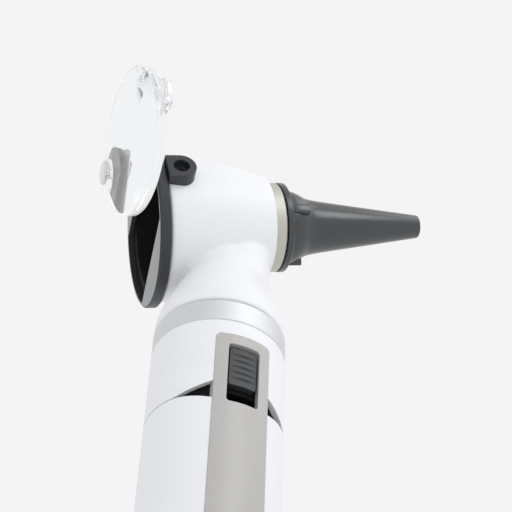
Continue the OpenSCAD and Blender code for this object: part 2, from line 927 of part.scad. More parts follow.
// Opening of the eyepiece, cut along the head's axis: round ends, straight upper and lower edges
module eyepiece_cut(s0, s1) {
    translate([s0, 0, 0])
        rotate([90, 0, 90])
            linear_extrude(s1 - s0)
                intersection() {
                    circle(ring_open_r);
                    square([ring_d, eyepiece_h], center = true);
                }
}

module rear_ring() {
    edge = 0.4;
    notch_polar = 10;
    color("#4b4d4f")
        head_frame()
            difference() {
                union() {
                    revolve([
                        [ring_rear, 0], [ring_rear, ring_r - edge], [ring_rear + edge, ring_r],
                        [ring_front - edge, ring_r], [ring_front, ring_r - edge],
                        [ring_front, spigot_r], [spigot_end, spigot_r], [spigot_end, spigot_bore_r],
                        [liner_seat_s, spigot_bore_r], [liner_seat_s, ring_open_r],
                        [plate_s, ring_open_r], [plate_s, 0]
                    ]);
                    pivot_ear();
                }
                eyepiece_cut(ring_rear - ear_top - 2 * over, plate_s + over);
                on_pivot()
                    translate([0, 0, -ear_top - over])
                        cylinder(r = rivet_d / 2 + seat, h = ear_top + over + ring_plate + face_gap);
                at_polar(notch_polar)
                    translate([ring_front - notch_l, -notch_w / 2, ring_r - notch_depth])
                        cube([notch_l + over, notch_w, notch_depth + over]);
                at_polar(0)
                    translate([port_axis_s, 0, 0])
                        cylinder(r = stub_r + seat, h = spigot_r + over);
            }
}

// Ear that carries the lens's rivet: a broad step and a narrow top under the washer
module pivot_ear() {
    reach = ring_r + ear_d;
    intersection() {
        on_pivot() {
            translate([0, 0, -ear_step])
                cylinder(d = ear_d, h = ear_step + ring_w);
            translate([0, 0, -ear_top])
                cylinder(d = ear_top_d, h = ear_top);
        }
        translate([plate_s - reach, -reach, -reach])
            cube([reach, 2 * reach, 2 * reach]);
    }
}

// Outline of the port's tongue, from the rear ring to a round end
module tongue_outline() {
    intersection() {
        union() {
            translate([port_axis_s, 0])
                circle(port_w / 2);
            translate([ring_front, -port_w / 2])
                square([port_s, port_w]);
        }
        translate([ring_front + seat, -port_w])
            square(2 * port_w);
    }
}

module port_lug() {
    stub_end = liner_rear_r + seat;
    color("#4b4d4f")
        head_frame()
            difference() {
                union() {
                    difference() {
                        at_polar(0)
                            linear_extrude(port_reach)
                                tongue_outline();
                        revolve([
                            [-head_back - over, 0],
                            [-head_back - over, head_r(-head_back - over) + seat],
                            [-head_crease, head_mid_r + seat], [-head_crease, 0]
                        ]);
                    }
                    at_polar(0)
                        translate([port_axis_s, 0, stub_end])
                            cylinder(r = stub_r, h = port_floor - stub_end);
                }
                at_polar(0)
                    translate([port_axis_s, 0, port_floor])
                        cylinder(d = port_d, h = port_depth + over);
                at_polar(0)
                    translate([port_axis_s, 0, stub_end - over])
                        cylinder(r = passage_r, h = port_reach - stub_end);
            }
}

// Lens

// One face of the lens from its centre outwards: crown and flat rim
function lens_face(s, out) =
    let (
        r_crown = lens_d / 2 - lens_rim,
        r_sphere = (pow(r_crown, 2) + pow(lens_crown, 2)) / (2 * lens_crown),
        half = asin(r_crown / r_sphere)
    )
        concat(
            [for (i = [0:8])
                let (a = half * i / 8)
                    [s + out * (lens_crown - r_sphere * (1 - cos(a))), r_sphere * sin(a)]],
            [[s, lens_d / 2 - lens_edge]]
        );

module lens() {
    tab_r = 2.4;
    front = lens_face(lens_front_s, 1);
    rear = lens_face(lens_rear_s, -1);
    color("#dfe6ea", 0.5)
        head_frame()
            swung()
                difference() {
                    union() {
                        revolve(concat(
                            front,
                            [[lens_front_s - lens_edge, lens_d / 2]],
                            [[lens_rear_s + lens_edge, lens_d / 2]],
                            [for (i = [len(rear) - 1:-1:0]) rear[i]]
                        ));
                        on_pivot()
                            translate([0, 0, -lens_gap - lens_t - boss_rear])
                                cylinder(d = boss_d, h = lens_t + boss_rear + boss_front);
                        at_polar(pivot_polar + 180)
                            translate([(lens_front_s + lens_rear_s - tab_t) / 2, 0, 0])
                                rotate([0, 90, 0])
                                    linear_extrude(tab_t)
                                        translate([-(lens_d / 2 + tab_l / 2 - 1.5), 0])
                                            rounded_rect(tab_l + 3, tab_w, tab_r);
                    }
                    on_pivot()
                        translate([0, 0, -lens_gap - lens_t - boss_rear - over])
                            cylinder(r = rivet_d / 2 + run, h = lens_t + boss_rear + lens_gap + 2 * over);
                }
}

module lens_rivet() {
    head_z = -lens_gap - lens_t - boss_rear - face_gap;
    r = rivet_head_d / 2;
    edge = rivet_head_h / 2;
    color("#d9dadb")
        head_frame()
            on_pivot()
                rotate_extrude()
                    polygon([
                        [0, head_z - rivet_head_h], [r - edge, head_z - rivet_head_h],
                        [r, head_z - rivet_head_h + edge], [r, head_z], [rivet_d / 2, head_z],
                        [rivet_d / 2, rivet_end], [0, rivet_end]
                    ]);
}

module spring_washer() {
    color("#c9cacb")
        head_frame()
            on_pivot()
                tube(ear_top_d / 2 + 0.4, rivet_d / 2 + seat, -ear_top - washer_t + 0.08, -ear_top);
}

// Nose and speculum

module nose_ring() {
    r_in = nose_bore_r + seat;
    r = nose_ring_d / 2;
    color("#d8d4c8")
        head_frame()
            revolve([
                [head_front, r_in], [head_front, r], [nose_front - 0.4, r],
                [nose_front, r - 0.4], [nose_front, r_in]
            ]);
}

// Radius of the nose cone, which stays inside the speculum's bore
function nose_cone_r(s) = spec_bore(s) - nose_play;

module nose_cone() {
    shoulder_r_in = nose_bore_r - 1.4;
    shoulder_s = nose_front + 0.6;
    wall_rear = 1.2;
    wall_tip = 1;
    tip_r_out = nose_cone_r(nose_tip_s);
    color("#222325")
        head_frame()
            revolve([
                [nose_seat_s, liner_front_r - liner_wall], [nose_seat_s, nose_seat_r],
                [head_front - eps, nose_seat_r], [head_front - eps, nose_bore_r],
                [nose_front - 0.3, nose_bore_r], [shoulder_s, shoulder_r_in],
                [cone_s0, nose_cone_r(cone_s0)], [nose_tip_s, tip_r_out],
                [nose_tip_s, tip_r_out - wall_tip], [cone_s0, nose_cone_r(cone_s0) - wall_rear]
            ]);
}

module fibre_ring() {
    r = nose_cone_r(nose_tip_s + fibre_ring_t);
    color("#f0ead2")
        head_frame()
            revolve([
                [nose_tip_s, r - 0.9], [nose_tip_s, r], [nose_tip_s + fibre_ring_t, r],
                [nose_tip_s + fibre_ring_t, r - 0.9]
            ]);
}

// The speculum's shoulder: two stations as shares of its length, and its radii there
knee_s = flange_s1 + 0.4 * shoulder_l;
waist_s = flange_s1 + 0.7 * shoulder_l;
shoulder_r = rib_reach - 0.2;
knee_r = shoulder_r - 0.15;
waist_r = mix(shoulder_r, cone_r, 0.38);

module speculum() {
    tip_round = 0.4;
    rim = 1.2;
    rim_depth = 0.6;
    rib_root = 2;
    rib_lap = 0.3;
    color("#55575a")
        head_frame()
            difference() {
                union() {
                    revolve([
                        [spec_s0, 0], [spec_s0, flange_r], [flange_s1, flange_r],
                        [flange_s1, shoulder_r], [knee_s, knee_r], [waist_s, waist_r],
                        [cone_s0, cone_r], [cone_s1 - tip_round, spec_r(cone_s1 - tip_round)],
                        [cone_s1, tip_r - tip_round], [cone_s1, 0]
                    ]);
                    for (i = [0:spec_ribs - 1])
                        at_polar(rib_polar + i * 360 / spec_ribs)
                            translate([flange_s1 - rib_lap, -rib_w / 2, cone_r - rib_root])
                                cube([shoulder_l + 2 * rib_lap, rib_w, rib_reach - cone_r + rib_root]);
                }
                revolve([
                    [spec_s0 - over, 0], [spec_s0 - over, flange_r - rim],
                    [spec_s0 + rim_depth, flange_r - rim],
                    [spec_s0 + rim_depth, shoulder_r - spec_wall], [knee_s, knee_r - spec_wall],
                    [waist_s, waist_r - spec_wall], [cone_s0, spec_bore(cone_s0)],
                    [cone_s1 + over, spec_bore(cone_s1 + over)], [cone_s1 + over, 0]
                ]);
            }
}

end_cap();
cap_seal();
battery_spring();
cell_lower();
cell_upper();
contact_strip();
handle_tube();
switch_sleeve();
switch_plate();
switch_slider();
slider_contact();
switch_core();
plus_contact();
collar_ring();
coupling_post();
bayonet_pins();
pin_insulator();
contact_pin();
head_shell();
neck_socket();
lamp_holder();
lamp_base();
lamp_bulb();
fibre_bundle();
head_liner();
rear_ring();
port_lug();
lens();
lens_rivet();
spring_washer();
nose_ring();
nose_cone();
fibre_ring();
speculum();
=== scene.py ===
"""Looks of a hand-held otoscope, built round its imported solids.

The file is laid out as an add-on: property groups for sizes and colours, one operator for each
group of like pieces and one for the stage, and a panel that lists them.
"""

import json
import math

import bmesh
import bpy
from mathutils import Matrix, Vector


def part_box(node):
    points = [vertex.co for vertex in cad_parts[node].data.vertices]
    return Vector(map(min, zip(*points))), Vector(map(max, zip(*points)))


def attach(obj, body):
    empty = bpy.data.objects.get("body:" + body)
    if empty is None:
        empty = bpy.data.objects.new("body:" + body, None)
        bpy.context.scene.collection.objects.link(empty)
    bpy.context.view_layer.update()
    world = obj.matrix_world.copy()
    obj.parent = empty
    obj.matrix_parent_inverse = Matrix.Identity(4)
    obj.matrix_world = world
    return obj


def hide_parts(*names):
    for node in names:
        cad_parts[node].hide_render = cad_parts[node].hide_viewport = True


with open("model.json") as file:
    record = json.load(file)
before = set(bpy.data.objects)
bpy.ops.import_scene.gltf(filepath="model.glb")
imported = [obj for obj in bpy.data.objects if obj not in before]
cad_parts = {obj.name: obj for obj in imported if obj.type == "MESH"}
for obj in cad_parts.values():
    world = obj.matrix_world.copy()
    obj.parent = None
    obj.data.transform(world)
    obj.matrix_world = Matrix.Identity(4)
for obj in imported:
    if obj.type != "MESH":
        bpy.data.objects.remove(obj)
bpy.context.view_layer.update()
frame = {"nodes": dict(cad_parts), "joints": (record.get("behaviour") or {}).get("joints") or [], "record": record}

bl_info = {
    "name": "Otoscope",
    "version": (1, 0, 0),
    "blender": (4, 5, 0),
    "location": "View3D > Sidebar > Otoscope",
    "description": "Finishes the pieces of a hand-held otoscope",
    "category": "Object",
}

MM = 0.001
JOINTS = {joint["name"]: joint for joint in frame["joints"]}
BODY_OF = {
    node: body
    for body, nodes in frame["record"]["behaviour"]["bodies"].items()
    for node in nodes
}
SLOT_OF = {part["node"]: part["material_slot"] for part in frame["record"]["subparts"]}

# The head's axis, from the way the speculum pulls off, and the point where it meets the handle's axis
HEAD_AXIS = Vector(JOINTS["speculum_pull"]["axis"]).normalized()
HEAD_TILT = math.atan2(HEAD_AXIS.z, HEAD_AXIS.x)
NOSE_CENTRE = sum(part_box("nose_ring"), Vector()) / 2
HEAD_HEIGHT = NOSE_CENTRE.z - NOSE_CENTRE.x * math.tan(HEAD_TILT)
HEAD_FRAME = Matrix.Translation((0, 0, HEAD_HEIGHT)) @ Matrix.Rotation(-HEAD_TILT, 4, "Y")

# Height of the collar's lower edge, where the handle's sleeve ends
COLLAR_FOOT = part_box("collar_ring")[0].z

# The lens's pivot, with X along its pin, and the lens's own frame, swung open from the eyepiece
PIVOT = Vector(JOINTS["lens_swing"]["pos_m"])
PIVOT_AXIS = Vector(JOINTS["lens_swing"]["axis"]).normalized()
PIVOT_FRAME = Matrix.Translation(PIVOT) @ PIVOT_AXIS.to_track_quat("X", "Z").to_matrix().to_4x4()
LENS_SWING = math.radians(JOINTS["lens_swing"]["range_deg"][1])
LENS_FRAME = (
    Matrix.Translation(PIVOT) @ Matrix.Rotation(-LENS_SWING, 4, PIVOT_AXIS)
    @ Matrix.Translation(-PIVOT) @ HEAD_FRAME
)


def linear(hex_code):
    """Turns an sRGB hex colour into linear RGBA."""
    parts = [int(hex_code[i:i + 2], 16) / 255 for i in (1, 3, 5)]
    return tuple(p / 12.92 if p <= 0.04045 else ((p + 0.055) / 1.055) ** 2.4 for p in parts) + (1.0,)


def colour(name, description, hex_code):
    """A colour property with an sRGB hex default."""
    return bpy.props.FloatVectorProperty(
        name=name, description=description, subtype="COLOR", size=4, min=0, max=1,
        default=linear(hex_code),
    )


def length(name, description, millimetres):
    """A length property with a default in millimetres."""
    return bpy.props.FloatProperty(
        name=name, description=description, subtype="DISTANCE", unit="LENGTH", min=0,
        default=millimetres * MM, precision=5,
    )


class OtoscopeColours(bpy.types.PropertyGroup):
    """Colours of the finishes"""

    white: colour("White ABS", "Head, sleeve and handle tube", "#EDEDEE")
    ring: colour("Dark ABS", "Rear ring and air port", "#36373A")
    # The plate's grey is lighter than the band's partly as a painted reflection of grazing light on the rear face
    plate: colour("Plate", "Flat rear face of the rear ring", "#68696B")
    speculum: colour("Speculum", "Ear speculum", "#2C2E31")
    # The black is also painted on the slider's foot as painted shade in the switch's gap
    black: colour("Black", "Liner, switch core, lamp holder and nose cone", "#0C0C0D")
    strip: colour("Strip", "Grey strip of the switch", "#B6B4AF")
    slider: colour("Slider", "Thumb slider", "#36383B")
    collar: colour("Collar", "Collar ring and end cap", "#D9DADC")
    nose: colour("Nose ring", "Pale ring at the nose", "#C6C4BC")
    steel: colour("Steel", "Rivet, washer and post of the lens", "#D8D9DB")
    nickel: colour("Nickel", "Coupling, lamp base and battery spring", "#C2C3C2")
    brass: colour("Brass", "Contacts", "#C9A254")
    cell: colour("Cell sleeve", "Printed sleeve of the cells", "#2F4560")
    rubber: colour("Rubber", "Seal of the end cap", "#17181A")
    ivory: colour("Ivory", "Insulator of the coupling", "#E6DDC6")
    guide: colour("Light guide", "Ends of the fibres", "#EFE7CC")
    floor: colour("Floor", "Floor under the part", "#E4E5E6")


class OtoscopeSizes(bpy.types.PropertyGroup):
    """Sizes of the finishing work"""

    soft_edge: length("Soft edge", "Rounding of moulded edges", 0.25)
    joint_edge: length("Joint edge", "Rounding where the sleeve meets the tube", 0.04)
    fine_edge: length("Fine edge", "Rounding of machined edges", 0.12)
    # Real mould lines and turning marks are finer: these are as coarse as they need to be to show
    ring_line: length("Ring line", "Pitch of the fine lines round the rear ring", 0.45)
    turned_line: length("Turned line", "Pitch of the turning marks on metal rings", 0.3)
    peel: length("Moulding peel", "Size of the soft ripple on moulded plastic", 2.4)
    spring_wire: length("Spring wire", "Wire of the battery spring", 1.1)
    spring_foot: length("Spring foot", "Diameter of the battery spring at the cap", 17)
    spring_top: length("Spring top", "Diameter of the battery spring at the cell", 10)
    spring_turns: bpy.props.IntProperty(
        name="Spring turns", description="Turns of the battery spring", default=5, min=1)
    lens_edge: length("Lens edge", "Thickness of the lens at its rim", 2.6)
    lens_crown: length("Lens crown", "Rise of each face of the lens at its middle", 1.5)
    shell_grain: length("Shell grain", "Mesh size of the head shell, before its folds are eased", 0.45)


def colours():
    return bpy.context.scene.otoscope_colours


def sizes():
    return bpy.context.scene.otoscope_sizes


# Node trees

def add(tree, kind, inputs=None, **settings):
    """Adds a node, sets its properties and fills its inputs with values or links."""
    made = tree.nodes.new(kind)
    for name, value in settings.items():
        setattr(made, name, value)
    for name, value in (inputs or {}).items():
        if isinstance(value, bpy.types.NodeSocket):
            tree.links.new(value, made.inputs[name])
        else:
            made.inputs[name].default_value = value
    return made


def material(name):
    """An empty material and its tree, or None for the tree if it is already built."""
    if name in bpy.data.materials:
        return bpy.data.materials[name], None
    made = bpy.data.materials.new(name)
    made.use_nodes = True
    made.node_tree.nodes.clear()
    return made, made.node_tree


def shade(tree, inputs):
    """Ends a tree in one Principled shader."""
    shader = add(tree, "ShaderNodeBsdfPrincipled", inputs)
    add(tree, "ShaderNodeOutputMaterial", {"Surface": shader.outputs[0]})


def tinted(tree, base, factor, spread):
    """Base colour that drifts a little lighter and darker with a pattern."""
    dark = tuple(c * (1 - spread) for c in base[:3]) + (1,)
    light = tuple(min(1, c * (1 + spread)) for c in base[:3]) + (1,)
    return add(tree, "ShaderNodeMix", {0: factor, 6: dark, 7: light}, data_type="RGBA").outputs[2]


# Turns that bring the handle's axis and the head's axis to X, for patterns that ring them
UP_TO_X = (0, math.pi / 2, 0)
HEAD_TO_X = (0, HEAD_TILT, 0)
# Scale of a wave texture whose bands repeat once per unit length
WAVE_UNIT = 2 * math.pi / 20


def white_abs():
    """Injection-moulded white ABS: satin gloss, with the faint ripple of a polished mould."""
    made, tree = material("abs_moulded_white")
    if tree:
        place = add(tree, "ShaderNodeTexCoord").outputs["Object"]
        ripple = add(tree, "ShaderNodeTexNoise", {
            "Vector": place, "Scale": 1 / sizes().peel, "Detail": 2.0, "Roughness": 0.4})
        haze = add(tree, "ShaderNodeTexNoise", {"Vector": place, "Scale": 1 / (14 * MM), "Detail": 3.0})
        rough = add(tree, "ShaderNodeMapRange", {0: haze.outputs[0], 3: 0.42, 4: 0.52})
        bump = add(tree, "ShaderNodeBump", {
            "Height": ripple.outputs[0], "Distance": 0.03 * MM, "Strength": 0.25})
        shade(tree, {
            "Base Color": tinted(tree, colours().white, haze.outputs[0], 0.015),
            "Roughness": rough.outputs[0], "IOR": 1.53, "Normal": bump.outputs[0]})
    return made


def ring_abs():
    """Moulded dark ABS turned on its edge: satin, with fine lines round the band."""
    made, tree = material("abs_moulded_dark")
    if tree:
        place = add(tree, "ShaderNodeTexCoord").outputs["Object"]
        turned = add(tree, "ShaderNodeMapping", {"Vector": place, "Rotation": HEAD_TO_X}).outputs[0]
        lines = add(tree, "ShaderNodeTexWave", {
            "Vector": turned, "Scale": WAVE_UNIT / sizes().ring_line, "Distortion": 0.3,
            "Detail": 1.0}, bands_direction="X")
        grain = add(tree, "ShaderNodeTexNoise", {"Vector": place, "Scale": 1 / (0.5 * MM), "Detail": 3.0})
        height = add(tree, "ShaderNodeMix", {0: 0.25, 2: lines.outputs[1], 3: grain.outputs[0]})
        bump = add(tree, "ShaderNodeBump", {
            "Height": height.outputs[0], "Distance": 0.03 * MM, "Strength": 0.35})
        rough = add(tree, "ShaderNodeMapRange", {0: grain.outputs[0], 3: 0.34, 4: 0.46})
        shade(tree, {
            "Base Color": tinted(tree, colours().ring, lines.outputs[1], 0.14),
            "Roughness": rough.outputs[0], "IOR": 1.53, "Specular IOR Level": 0.35,
            "Normal": bump.outputs[0]})
    return made


def moulded(name, base, roughness, grain_mm, shine=0.5):
    """Plain moulded plastic with a spark-eroded grain, which takes the gloss down."""
    made, tree = material(name)
    if tree:
        place = add(tree, "ShaderNodeTexCoord").outputs["Object"]
        grain = add(tree, "ShaderNodeTexNoise", {
            "Vector": place, "Scale": 1 / (grain_mm * MM), "Detail": 4.0})
        drift = add(tree, "ShaderNodeTexNoise", {"Vector": place, "Scale": 1 / (8 * MM), "Detail": 2.0})
        bump = add(tree, "ShaderNodeBump", {
            "Height": grain.outputs[0], "Distance": 0.05 * MM, "Strength": 0.25})
        rough = add(tree, "ShaderNodeMapRange", {
            0: drift.outputs[0], 3: roughness - 0.05, 4: roughness + 0.05})
        shade(tree, {
            "Base Color": tinted(tree, base, drift.outputs[0], 0.06), "Specular IOR Level": shine,
            "Roughness": rough.outputs[0], "IOR": 1.5, "Normal": bump.outputs[0]})
    return made


def rear_plate_painted_reflection():
    """Moulded face, glossier than the band and faintly speckled; its grey, lighter than the band's, is partly a
    painted reflection of the grazing light on this face.
    """
    return moulded("abs_moulded_plate_painted_reflection", colours().plate, 0.2, 0.8)


def clear_acrylic():
    """Polished clear acrylic: see-through, with bright edges and a trace of finger haze."""
    made, tree = material("acrylic_polished_clear")
    if tree:
        place = add(tree, "ShaderNodeTexCoord").outputs["Object"]
        haze = add(tree, "ShaderNodeTexNoise", {"Vector": place, "Scale": 1 / (6 * MM), "Detail": 3.0})
        rough = add(tree, "ShaderNodeMapRange", {0: haze.outputs[0], 1: 0.4, 2: 0.7, 3: 0.0, 4: 0.03})
        shade(tree, {
            "Base Color": linear("#FCFDFF"), "Roughness": rough.outputs[0], "IOR": 1.49,
            "Transmission Weight": 1.0})
    return made


def turned_metal(name, base, roughness, axis_turn):
    """Turned metal: a soft sheen with fine rings round its axis."""
    made, tree = material(name)
    if tree:
        place = add(tree, "ShaderNodeTexCoord").outputs["Object"]
        turned = add(tree, "ShaderNodeMapping", {"Vector": place, "Rotation": axis_turn})
        rings = add(tree, "ShaderNodeTexWave", {
            "Vector": turned.outputs[0], "Scale": WAVE_UNIT / sizes().turned_line, "Distortion": 0.6,
            "Detail": 2.0}, bands_direction="X")
        grit = add(tree, "ShaderNodeTexNoise", {"Vector": place, "Scale": 1 / (0.3 * MM), "Detail": 3.0})
        height = add(tree, "ShaderNodeMix", {0: 0.5, 2: rings.outputs[1], 3: grit.outputs[0]})
        bump = add(tree, "ShaderNodeBump", {
            "Height": height.outputs[0], "Distance": 0.01 * MM, "Strength": 0.3})
        rough = add(tree, "ShaderNodeMapRange", {
            0: grit.outputs[0], 3: roughness - 0.05, 4: roughness + 0.05})
        shade(tree, {
            "Base Color": tinted(tree, base, rings.outputs[1], 0.04), "Metallic": 1.0,
            "Roughness": rough.outputs[0], "Normal": bump.outputs[0]})
    return made


def lamp_glass():
    """Blown lamp glass: clear and thin, with a slight waviness."""
    made, tree = material("glass_blown_clear")
    if tree:
        place = add(tree, "ShaderNodeTexCoord").outputs["Object"]
        seed = add(tree, "ShaderNodeTexNoise", {"Vector": place, "Scale": 1 / (2 * MM), "Detail": 2.0})
        rough = add(tree, "ShaderNodeMapRange", {0: seed.outputs[0], 3: 0.02, 4: 0.12})
        shade(tree, {
            "Base Color": linear("#FAFCFF"), "Roughness": rough.outputs[0], "IOR": 1.5,
            "Transmission Weight": 1.0})
    return made


def finish_of(slot):
    """The material for one of the record's slots."""
    tint = colours()
    table = {
        "white_plastic": white_abs,
        "dark_plastic": ring_abs,
        # Glossy for a plastic: one long soft streak down the funnel
        "speculum_plastic": lambda: moulded(
            "polypropylene_moulded_grey", tint.speculum, 0.27, 0.4, shine=0.8),
        # Matt, so that the eyepiece and the gaps of the switch stay dark
        "black_plastic": lambda: moulded("abs_moulded_matt_black", tint.black, 0.7, 0.3, shine=0.15),
        # Grained for the thumb: a dull sheen and no clear reflection
        "slider_plastic": lambda: moulded("abs_grained_slider", tint.slider, 0.5, 0.35),
        # An even grey with a soft sheen
        "grey_strip": lambda: moulded("abs_moulded_grey", tint.strip, 0.38, 0.4),
        "clear_acrylic": clear_acrylic,
        # Turned and blasted: a broad pale sheen, far from a mirror
        "satin_aluminium": lambda: turned_metal("aluminium_turned_satin", tint.collar, 0.6, UP_TO_X),
        # Plated over turning marks: pale and a little warm
        "pale_metal": lambda: turned_metal("brass_turned_pale_plated", tint.nose, 0.55, HEAD_TO_X),
        # Polished: small hard glints
        "bright_steel": lambda: turned_metal("steel_polished", tint.steel, 0.16, HEAD_TO_X),
        # Plated: bright, with clear but soft reflections
        "plated_metal": lambda: turned_metal("brass_nickel_plated", tint.nickel, 0.25, UP_TO_X),
        # Drawn through a die: bright along the wire
        "spring_steel": lambda: turned_metal("steel_drawn_wire", tint.nickel, 0.3, UP_TO_X),
        # Stamped from sheet: yellow with a dull gleam
        "contact_brass": lambda: turned_metal("brass_stamped", tint.brass, 0.32, UP_TO_X),
        # Shrunk film: smooth and half glossy
        "cell_can": lambda: moulded("film_printed_sleeve", tint.cell, 0.3, 0.8),
        # Dull, with hardly a highlight
        "seal_rubber": lambda: moulded("rubber_moulded_black", tint.rubber, 0.7, 0.25),
        # Waxy and warm
        "ivory_plastic": lambda: moulded("nylon_moulded_ivory", tint.ivory, 0.45, 0.4),
        "lamp_glass": lamp_glass,
        # Ground and polished ends: smooth and pale
        "light_guide": lambda: moulded("glass_fibre_polished_ends", tint.guide, 0.2, 0.15),
    }
    return table[slot]()


# Meshes

# Points closer than the weld become one, stretches flatter than the flat angle become one face, and
# edges sharper than the edge angle are rounded
WELD = 0.002 * MM
FLAT_ANGLE = math.radians(0.5)
EDGE_ANGLE = math.radians(35)


def new_object(name, mesh):
    """An object at the origin, linked to the scene."""
    made = bpy.data.objects.new(name, mesh)
    bpy.context.scene.collection.objects.link(made)
    return made


def made_plain(obj):
    """Turns an object's evaluated form into its plain mesh, and takes the modifiers off."""
    graph = bpy.context.evaluated_depsgraph_get()
    mesh = bpy.data.meshes.new_from_object(obj.evaluated_get(graph), depsgraph=graph)
    obj.modifiers.clear()
    obj.data = mesh
    return obj


def seat(obj, node):
    """Gives a piece its finish, lets it stand for a node and ride on the node's body."""
    obj.data.materials.clear()
    obj.data.materials.append(finish_of(SLOT_OF[node]))
    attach(obj, BODY_OF[node])
    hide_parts(node)
    return obj


def softened(node, edge, segments=2):
    """A merged copy of a solid with rounded edges and even shading."""
    mesh = frame["nodes"][node].data.copy()
    shape = bmesh.new()
    shape.from_mesh(mesh)
    bmesh.ops.remove_doubles(shape, verts=shape.verts, dist=WELD)
    bmesh.ops.dissolve_limit(shape, angle_limit=FLAT_ANGLE, verts=shape.verts, edges=shape.edges)
    for face in shape.faces:
        face.smooth = True
    shape.to_mesh(mesh)
    shape.free()
    if "custom_normal" in mesh.attributes:
        mesh.attributes.remove(mesh.attributes["custom_normal"])
    obj = new_object(node + "_finished", mesh)
    bevel = obj.modifiers.new("edge", "BEVEL")
    bevel.width = edge
    bevel.segments = segments
    bevel.limit_method = "ANGLE"
    bevel.angle_limit = EDGE_ANGLE
    bevel.harden_normals = True
    obj.modifiers.new("shading", "WEIGHTED_NORMAL")
    return made_plain(obj)


def dress(nodes, edge):
    """Softens the edges of each solid and gives it its finish."""
    for node in nodes:
        seat(softened(node, edge), node)


def input_of(tree, name, value):
    """Adds a named input for a whole or broken number to a Geometry Nodes tree."""
    kind = "NodeSocketInt" if isinstance(value, int) else "NodeSocketFloat"
    made = tree.interface.new_socket(name=name, in_out="INPUT", socket_type=kind)
    made.default_value = value
    return made.identifier


def grown(name, build, inputs, finish, mesh=None):
    """Runs a Geometry Nodes tree, on a mesh if it needs one, and keeps its result as a plain mesh."""
    tree = bpy.data.node_groups.new(name, "GeometryNodeTree")
    for way in ("INPUT", "OUTPUT"):
        tree.interface.new_socket(name="Geometry", in_out=way, socket_type="NodeSocketGeometry")
    handles = {label: input_of(tree, label, value) for label, value in inputs.items()}
    start = add(tree, "NodeGroupInput")
    shape = build(tree, start.outputs)
    whole = add(tree, "GeometryNodeRealizeInstances", {"Geometry": shape})
    coated = add(tree, "GeometryNodeSetMaterial", {"Geometry": whole.outputs[0], "Material": finish})
    add(tree, "NodeGroupOutput", {"Geometry": coated.outputs[0]})
    obj = new_object(name, mesh or bpy.data.meshes.new(name))
    modifier = obj.modifiers.new(name, "NODES")
    modifier.node_group = tree
    for label, value in inputs.items():
        modifier[handles[label]] = value
    return made_plain(obj)


def spun(name, profile, place, steps=144):
    """A profile of (along, out) in millimetres, turned round X and put in its place.

    A profile that keeps off the axis is closed to a ring.
    """
    shape = bmesh.new()
    rim = [shape.verts.new((along * MM, 0, out * MM)) for along, out in profile]
    closing = rim[:1] if min(out for _, out in profile) > 0 else []
    edges = [shape.edges.new(pair) for pair in zip(rim, rim[1:] + closing)]
    bmesh.ops.spin(shape, geom=rim + edges, axis=(1, 0, 0), angle=2 * math.pi, steps=steps)
    bmesh.ops.remove_doubles(shape, verts=shape.verts, dist=WELD)
    bmesh.ops.recalc_face_normals(shape, faces=shape.faces)
    for face in shape.faces:
        face.smooth = True
    shape.transform(place)
    mesh = bpy.data.meshes.new(name)
    shape.to_mesh(mesh)
    shape.free()
    return new_object(name, mesh)


def combined(obj, tool, operation):
    """Joins a tool to a piece or cuts it out, and deletes the tool."""
    step = obj.modifiers.new("combined", "BOOLEAN")
    step.operation = operation
    step.solver = "EXACT"
    step.object = tool
    made_plain(obj)
    bpy.data.objects.remove(tool)
    return obj


def joined(obj, other):
    """Adds another object's faces to a piece, and deletes that object."""
    shape = bmesh.new()
    shape.from_mesh(obj.data)
    shape.from_mesh(other.data)
    shape.to_mesh(obj.data)
    shape.free()
    bpy.data.objects.remove(other)
    return obj


def eased(points, rounds=3):
    """Cuts the corners of an open line again and again, which leaves a smooth curve."""
    for _ in range(rounds):
        cut = [points[0]]
        for start, end in zip(points, points[1:]):
            cut += [tuple(a + (b - a) * share for a, b in zip(start, end)) for share in (0.25, 0.75)]
        points = cut + [points[-1]]
    return points


def crisp(obj, angle):
    """Even shading, broken at edges sharper than an angle in degrees."""
    mesh = obj.data
    mesh.shade_smooth()
    mesh.set_sharp_from_angle(angle=math.radians(angle))
    return obj


def part_finish(obj, finish, chosen):
    """Gives the faces that a test picks, by middle and normal, another material."""
    obj.data.materials.append(finish)
    for face in obj.data.polygons:
        if chosen(face.center, face.normal):
            face.material_index = len(obj.data.materials) - 1
    return obj


# Stage

FLOOR_RADIUS = 115 * MM


def make_floor():
    """A pale round board under the end cap."""
    mesh = bpy.data.meshes.new("floor")
    shape = bmesh.new()
    bmesh.ops.create_circle(shape, cap_ends=True, segments=96, radius=FLOOR_RADIUS)
    shape.to_mesh(mesh)
    shape.free()
    floor = new_object("floor", mesh)
    mesh.materials.append(moulded("board_painted_pale", colours().floor, 0.6, 1.2))


# A bright even room: its light, and the white that the eye sees
WORLD_LIGHT = 0.96
WORLD_TINT = "#F3F5F9"
BACKDROP = "#F4F4F4"


def make_world():
    """White to the eye, to glass and to reflections, and a softer level as light."""
    world = bpy.data.worlds.new("studio")
    bpy.context.scene.world = world
    world.use_nodes = True
    tree = world.node_tree
    tree.nodes.clear()
    path = add(tree, "ShaderNodeLightPath")
    seen = add(tree, "ShaderNodeMath", {
        0: path.outputs["Is Camera Ray"], 1: path.outputs["Is Glossy Ray"]}, operation="MAXIMUM")
    seen = add(tree, "ShaderNodeMath", {
        0: seen.outputs[0], 1: path.outputs["Is Transmission Ray"]}, operation="MAXIMUM")
    light = add(tree, "ShaderNodeBackground", {"Color": linear(WORLD_TINT), "Strength": WORLD_LIGHT})
    backdrop = add(tree, "ShaderNodeBackground", {"Color": linear(BACKDROP), "Strength": 1.0})
    both = add(tree, "ShaderNodeMixShader", {
        0: seen.outputs[0], 1: light.outputs[0], 2: backdrop.outputs[0]})
    add(tree, "ShaderNodeOutputWorld", {"Surface": both.outputs[0]})


